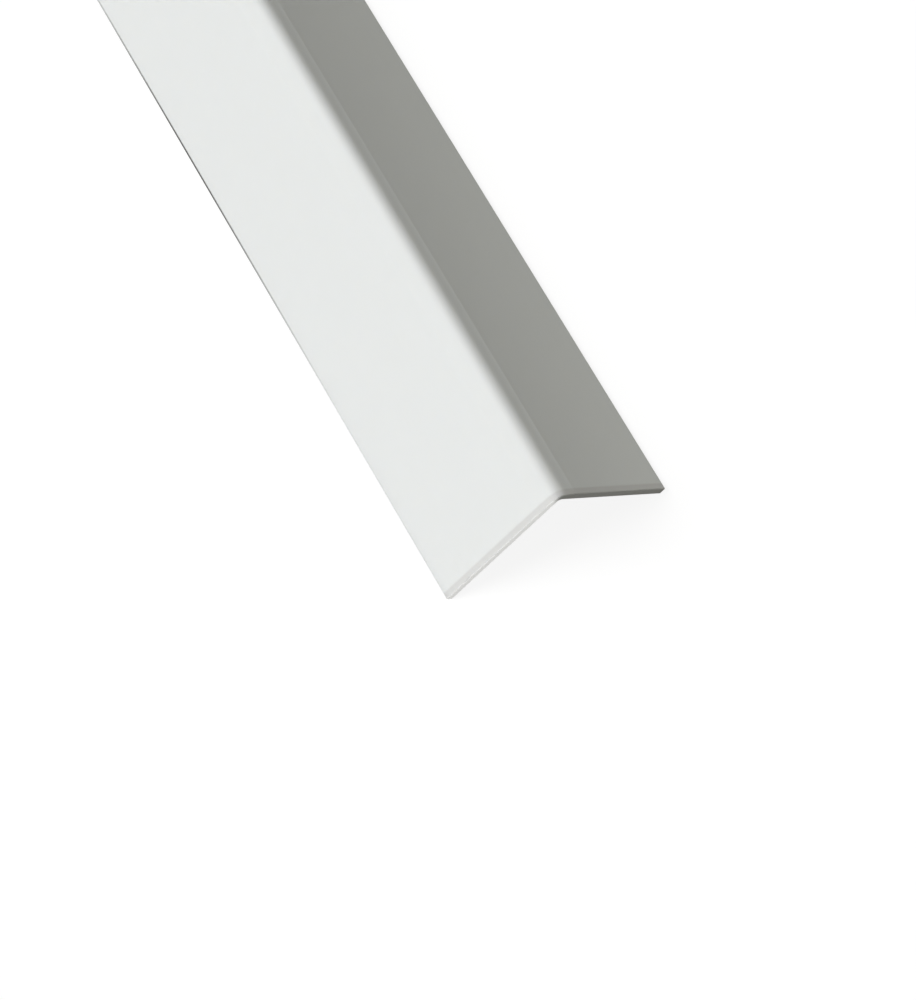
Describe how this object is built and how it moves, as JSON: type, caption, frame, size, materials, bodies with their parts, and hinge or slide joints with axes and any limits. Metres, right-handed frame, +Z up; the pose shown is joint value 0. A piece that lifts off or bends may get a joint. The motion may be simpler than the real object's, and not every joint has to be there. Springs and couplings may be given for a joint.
{
  "type": "angle profile",
  "caption": "Straight white acrylic angle moulding with equal legs at a right angle and a rounded ridge, used to cover and protect corners and edges.",
  "frame": {"origin": "on the floor, under the middle of the ridge", "axes": "+X along the bar, +Z up through the ridge, the legs slope down towards -Y and +Y"},
  "size_m": [1, 0.0562, 0.0283],
  "materials": {
    "white_acrylic": "satin"
  },
  "bodies": {
    "root": {"angle_profile": "white_acrylic"}
  },
  "joints": []
}
